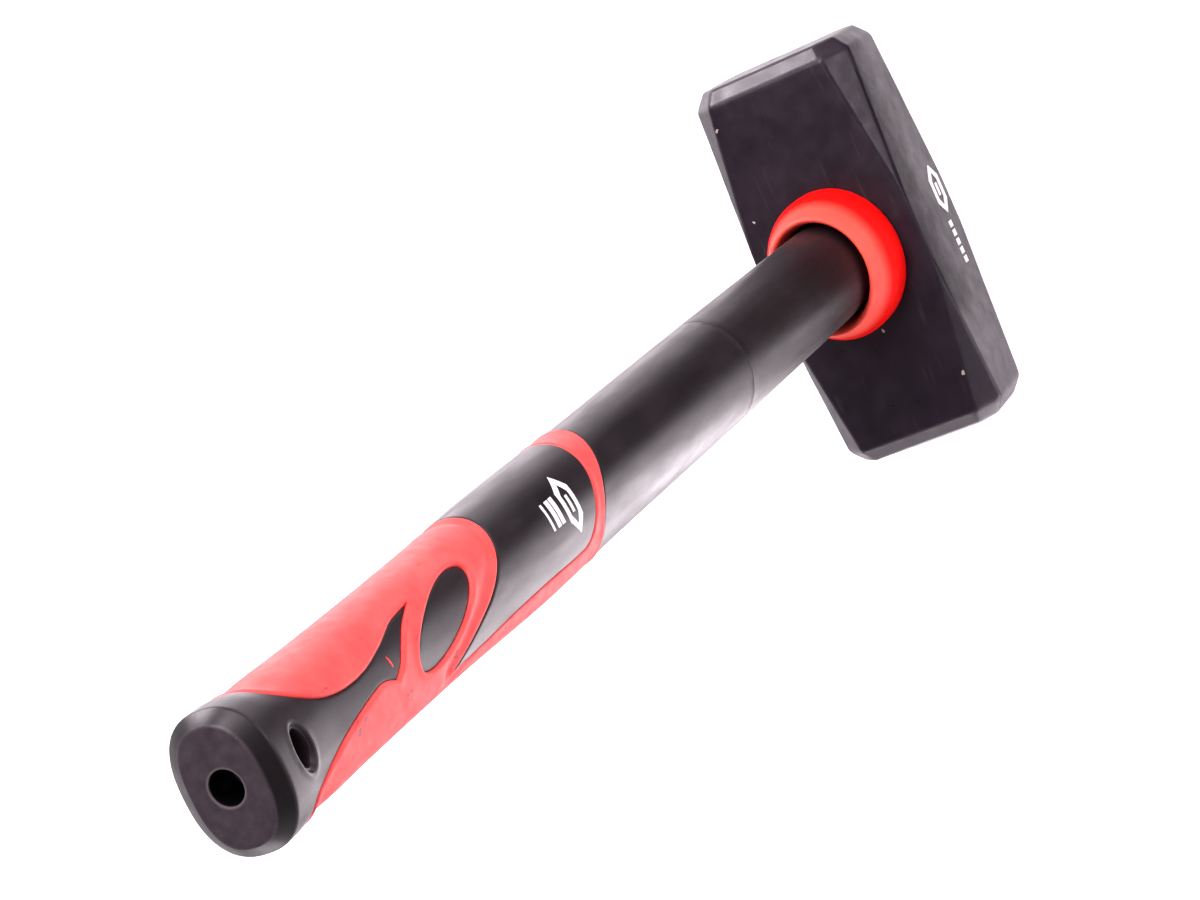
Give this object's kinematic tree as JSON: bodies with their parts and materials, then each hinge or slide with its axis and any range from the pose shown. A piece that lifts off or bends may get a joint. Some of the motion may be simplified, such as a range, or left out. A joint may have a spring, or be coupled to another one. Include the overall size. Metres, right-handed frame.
{
  "type": "lump hammer",
  "caption": "Lump hammer: chamfered double-faced steel head on a fibreglass-cored black and red two-component handle.",
  "frame": {"origin": "centre of the head's crown face, on which the hammer stands with its handle up", "axes": "+Z along the handle from the head to the butt, +X along the head towards one strike face, +Y out of one cheek"},
  "size_m": [0.11, 0.0466, 0.381],
  "materials": {
    "painted_steel": "black forging lacquer, satin",
    "epoxy": "cast potting resin",
    "fibreglass": "pultruded glass-fibre rod",
    "red_collar_plastic": "moulded, satin",
    "black_plastic": "moulded polypropylene, satin",
    "red_soft_rubber": "moulded soft thermoplastic rubber, fine texture"
  },
  "bodies": {
    "root": {"head": "painted_steel", "eye_resin": "epoxy", "core_rod": "fibreglass", "collar": "red_collar_plastic", "overstrike_sleeve": "black_plastic", "handle_body": "black_plastic", "soft_grip": "red_soft_rubber"}
  },
  "joints": []
}
